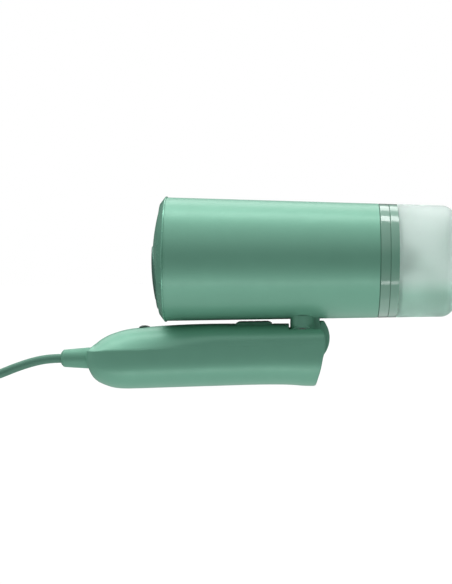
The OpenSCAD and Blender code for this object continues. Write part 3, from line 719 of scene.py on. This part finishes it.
guard_profile = fillet([
    (-138.8, 2.7), (-138.8, 3.4), (-137.4, 5.0), (-134.0, 5.28), (-123.5, 6.05), (-115.6, 6.05),
    (-115.6, 7.4), (-114.2, 7.4),
    (-114.2, 2.7)], [0.3, 0.5, 0.7, 0.5, 0.5, 0, 0.2, 0.2, 0], 5, closed=True)
guard = lathe("guard", guard_profile, from_guard, n=72)
piece(guard, "handle", "soft", "soft_green", "cord_guard")


# trigger, ready light
def trigger_solid(p):
    x, y, z = p[:, 0], p[:, 1], p[:, 2]
    S = poly_distance(x, z, [(-37.9, 3.8), (-37.9, 8.5), (-35.6, 9.85), (-19.5, 9.85), (-17.2, 8.4),
        (-17.2, 3.8)])
    d = smax(S, np.abs(y) - 7, 0.7)
    d = smax(d, z - 9.85 + 0.012 * y * y, 0.5)
    for i in range(3):
        d = smax(d, -(np.hypot(x + 31.5 - 4 * i, (z - 10.15) * 1.0) - 0.62), 0.25)
    return np.minimum(d, box(p, (-39.4, -7.7, 3.6), (-15.8, 7.7, 5.0), 0.2))


trigger = solid("trigger", trigger_solid, (-39.6, -7.9, 3.4), (-15.6, 7.9, 10.4), 0.4, from_handle)
piece(trigger, "trigger", "body", "body_green", "steam_trigger")


def lamp_solid(p):
    dome = np.linalg.norm(p - np.array([-90.4, 0, 2.05]), axis=1) - 6.25
    d = smax(box(p, (-93.5, -2.1, 3.9), (-87.3, 2.1, 9.5), 0.5), dome, 0.3)
    return np.minimum(d, box(p, (-94.6, -3.2, 2.8), (-86.2, 3.2, 4.2), 0.2))


lamp = solid("ready_lamp", lamp_solid, (-94.8, -3.4, 2.6), (-86, 3.4, 8.6), 0.3, from_handle)
piece(lamp, "handle", "lens", "lens", "ready_light")


# ---------------------------------------------------------------- head
def neck_solid(p):
    x, y, z = p[:, 0], p[:, 1], p[:, 2]
    lobes = np.minimum(np.hypot(x, np.abs(y) - 6.4),
        np.hypot(x, np.minimum(np.abs(y), 0) * 0 + np.maximum(np.abs(y) - 6.4, 0))) - 6.9
    column = smax(lobes, np.maximum(-z, z - 14), 0.1)
    block = box(p, (0, -8.1, -8), (9.9, 8.1, 16), 0.5)
    up_part = smin(column, block, 0.3)
    # ends where the sleeve's underside is
    u_, d_ = x, RISE - z
    cone = np.hypot(y, d_) - r_at(u_)
    up_part = np.maximum(up_part, -cone - 0.3)
    knuckle = smax(np.hypot(x, z) - 7.6, np.abs(y) - 13.3, 0.5)
    a = math.radians(10)
    side = 8.5 - (x * math.cos(a) - z * math.sin(a))
    barrel = smax(smax(np.hypot(x, z) - BARREL_R, np.abs(y) - 8.1, 0.7), np.maximum(side, z - 9.3), 0.7)
    d = smin(smin(up_part, knuckle, 0.5), barrel, 0.4)
    return np.maximum(d, 3.05 - np.hypot(x, z))


neck = solid("neck", neck_solid, (-8.5, -14, -17.5), (17.5, 14, 12.5), 0.42, from_head)
piece(neck, "head", "body", "body_green", "hinge_neck")

sleeve_profile = fillet([
    (-77.8, r_at(-77.8)), (42.7, r_at(42.7)), (42.7, r_at(42.7) - 2), (-77.8, r_at(-77.8) - 2)],
    [0, 0.35, 0.2, 0], 5, closed=True)
sleeve = lathe("sleeve", sleeve_profile, n=224)
piece(sleeve, "head", "body", "body_green", "head_sleeve")

ring_profile = fillet([
    (-77.8, 36.0), (-78.5, 36.0), (-78.8, 35.7), (-81.6, 31.95), (-81.5, 31.5), (-79.5, 31.5),
    (-79.5, 29), (-77.5, 29),
    (-77.5, 31.5), (-69, 31.5), (-69, 33.1), (-77.8, 33.1)],
    [0.15, 0.25, 0.35, 0.35, 0.2, 0, 0, 0, 0, 0, 0, 0], 5, closed=True)
ring = lathe("lip_ring", ring_profile, n=224)
piece(ring, "head", "ring", "body_green", "front_ring")


def stadium(y, d, r):
    return np.hypot(np.maximum(np.abs(y) - 7, 0), d - 10.5) - r


def dome_solid(p):
    u, y, d = p[:, 0], p[:, 1], p[:, 2]
    rr = np.hypot(y, d)
    c = -85.9 + 111
    s = np.sqrt((u - c) ** 2 + rr**2) - 111
    shell = np.maximum(s, -(s + 2))
    shell = smax(shell, rr - 31.4, 0.5)
    shell = np.maximum(shell, u + 79.5)
    return smax(shell, -stadium(y, d, 18.15), 0.6)


dome = solid("face", dome_solid, (-86.2, -31.6, -31.6), (-79.4, 31.6, 31.6), 0.6, from_axis)
piece(dome, "head", "body", "body_green", "face_dome")


def plate_solid(p):
    u, y, d = p[:, 0], p[:, 1], p[:, 2]
    c = -85.9 + 111
    s = np.sqrt((u - c) ** 2 + y * y + d * d) - 111.6
    st = stadium(y, d, 18)
    g = smax(smax(s, st, 1.1), u + 79.8, 0.1)
    pan = np.maximum(stadium(y, d, 14), -83.6 - u)
    g = np.maximum(g, -pan)
    # shallow channel that follows the edge
    groove = np.hypot(stadium(y, d, 14.6), s) - 0.5
    g = smax(g, -groove, 0.3)
    for k in range(8):
        for q in (-1, 1):
            a = math.radians(45 * k + 22.5)
            g = smax(g, -(np.hypot(y - (7 * q + 9.5 * math.sin(a)),
                d - (10.5 + 9.5 * math.cos(a))) - 1.3), 0.5)
    for y0 in (-7, 0, 7):
        g = smax(g, -(np.hypot(y - y0, d - 10.5) - 1.6), 0.5)
    return g


plate = solid("vent_plate", plate_solid, (-86.9, -25.4, -8), (-79.6, 25.4, 29), 0.42, from_axis)
piece(plate, "head", "dark", "plate", "steam_plate")

# ---------------------------------------------------------------- tank
collar = lathe("clear_collar", fillet([
    (42.9, r_at(42.9)), (48.3, r_at(48.3)), (48.3, 30.0), (42.9, 30.0)], [0.35, 0.3, 0.1, 0.1], 5,
    closed=True), n=224)
piece(collar, "tank", "clear", "clear_gloss", "tank_collar")
rim = lathe("clear_rim", fillet([
    (48.45, r_at(48.4)), (53.2, r_at(53.2)), (53.2, 30.0), (48.45, 30.0)], [0.3, 0.2, 0.1, 0.1], 5,
    closed=True), n=224)
piece(rim, "tank", "rim", "clear_gloss", "tank_rim")

TANK_U1 = 86.1
filler = lathe("filler", fillet([
    (TANK_U1 - 5.1, 0.0), (TANK_U1 - 5.1, 7.9), (TANK_U1 - 1.7, 7.9), (TANK_U1 - 1.65, 10.4),
    (TANK_U1 - 0.1, 10.4),
    (TANK_U1 - 0.1, 6.5), (TANK_U1 - 0.6, 5.9), (TANK_U1 - 0.6, 0.0)],
    [0, 0.4, 0.1, 0.3, 0.5, 0.3, 0.3, 0], 4), centre=(0, -13), closed=False, n=96)
piece(filler, "filler", "filler", "silicone", "filler_plug")


# ---------------------------------------------------------------- floor, light and world
floor_me = bpy.data.meshes.new("floor")
floor_me.from_pydata([(-3, -3, 0), (3, -3, 0), (3, 3, 0), (-3, 3, 0)], [], [(0, 1, 2, 3)])
floor = bpy.data.objects.new("floor", floor_me)
scene.collection.objects.link(floor)
fm = bpy.data.materials.new("floor")
fm.use_nodes = True
fn = fm.node_tree.nodes
fn.clear()
floor_out = fn.new("ShaderNodeOutputMaterial")
floor_mix = fn.new("ShaderNodeMixShader")
floor_clear = fn.new("ShaderNodeBsdfTransparent")
floor_white = fn.new("ShaderNodeBsdfDiffuse")
floor_white.inputs["Color"].default_value = (0.95, 0.95, 0.95, 1)
floor_mix.inputs[0].default_value = 0.07
fm.node_tree.links.new(floor_clear.outputs[0], floor_mix.inputs[1])
floor_glow = fn.new("ShaderNodeEmission")
floor_glow.inputs["Strength"].default_value = 0.75
floor_sum = fn.new("ShaderNodeAddShader")
fm.node_tree.links.new(floor_white.outputs[0], floor_sum.inputs[0])
fm.node_tree.links.new(floor_glow.outputs[0], floor_sum.inputs[1])
fm.node_tree.links.new(floor_sum.outputs[0], floor_mix.inputs[2])
fm.node_tree.links.new(floor_mix.outputs[0], floor_out.inputs[0])
floor_me.materials.append(fm)
floor.visible_diffuse = False
floor.visible_glossy = False
floor.visible_transmission = False
floor.visible_shadow = False


def area(name, direction, distance, size, power, target=(0.0, 0, 0.07)):
    """A soft light: direction is from the object, as (x, y, z)."""
    l = bpy.data.lights.new(name, "AREA")
    l.shape = "RECTANGLE"
    l.size, l.size_y = size
    l.energy = power
    o = bpy.data.objects.new(name, l)
    scene.collection.objects.link(o)
    d = Vector(direction).normalized()
    o.location = Vector(target) + d * distance
    z = d
    x = Vector((1, 0, 0)) - z * z.x
    x.normalize()
    y = z.cross(x)
    o.matrix_world = Matrix.Translation(o.location) @ Matrix((x, y, z)).transposed().to_4x4()
    return o


def polar(deg, x=0.0):
    """Direction in the plane across the head: 0 is straight up, 90 towards the camera."""
    a = math.radians(deg)
    return (x, -math.sin(a), math.cos(a))


area("key", polar(-4, -0.12), 1.1, (1.7, 0.30), 5.6)
area("key_back", polar(-42, -0.10), 1.1, (1.7, 0.45), 3.6)
area("fill_low", polar(134, 0.05), 1.0, (1.4, 0.12), 1.5)
area("left_fill", (-1.0, -0.25, 0.10), 1.0, (0.7, 0.7), 0.7)

world = bpy.data.worlds.new("studio")
scene.world = world
world.use_nodes = True
wt = world.node_tree
wt.nodes.clear()
wo = wt.nodes.new("ShaderNodeOutputWorld")
bg = wt.nodes.new("ShaderNodeBackground")
bgw = wt.nodes.new("ShaderNodeBackground")
bgw.inputs[0].default_value = (1, 1, 1, 1)
bgw.inputs[1].default_value = 1.0
mixs = wt.nodes.new("ShaderNodeMixShader")
lp = wt.nodes.new("ShaderNodeLightPath")
mx = wt.nodes.new("ShaderNodeMath")
mx.operation = "MAXIMUM"
wt.links.new(lp.outputs["Is Camera Ray"], mx.inputs[0])
wt.links.new(lp.outputs["Is Transmission Ray"], mx.inputs[1])
wt.links.new(mx.outputs[0], mixs.inputs[0])
wt.links.new(bg.outputs[0], mixs.inputs[1])
wt.links.new(bgw.outputs[0], mixs.inputs[2])
wt.links.new(mixs.outputs[0], wo.inputs[0])
tcw = wt.nodes.new("ShaderNodeTexCoord")
sep = wt.nodes.new("ShaderNodeSeparateXYZ")
wt.links.new(tcw.outputs["Generated"], sep.inputs[0])
rampw = wt.nodes.new("ShaderNodeValToRGB")
mrw = wt.nodes.new("ShaderNodeMapRange")
mrw.inputs["From Min"].default_value, mrw.inputs["From Max"].default_value = -1, 1
wt.links.new(sep.outputs[2], mrw.inputs["Value"])
wt.links.new(mrw.outputs["Result"], rampw.inputs["Fac"])
els = rampw.color_ramp.elements
els[0].position, els[0].color = 0.0, (0.78, 0.78, 0.78, 1)
els[1].position, els[1].color = 1.0, (1.0, 1.0, 1.0, 1)
for pos, v in ((0.18, 0.72), (0.38, 0.10), (0.60, 0.06), (0.80, 0.62)):
    e = els.new(pos)
    e.color = (v, v, v, 1)
wt.links.new(rampw.outputs[0], bg.inputs[0])
bg.inputs[1].default_value = 1.0

scene.view_settings.view_transform = "Standard"
scene.view_settings.look = "None"
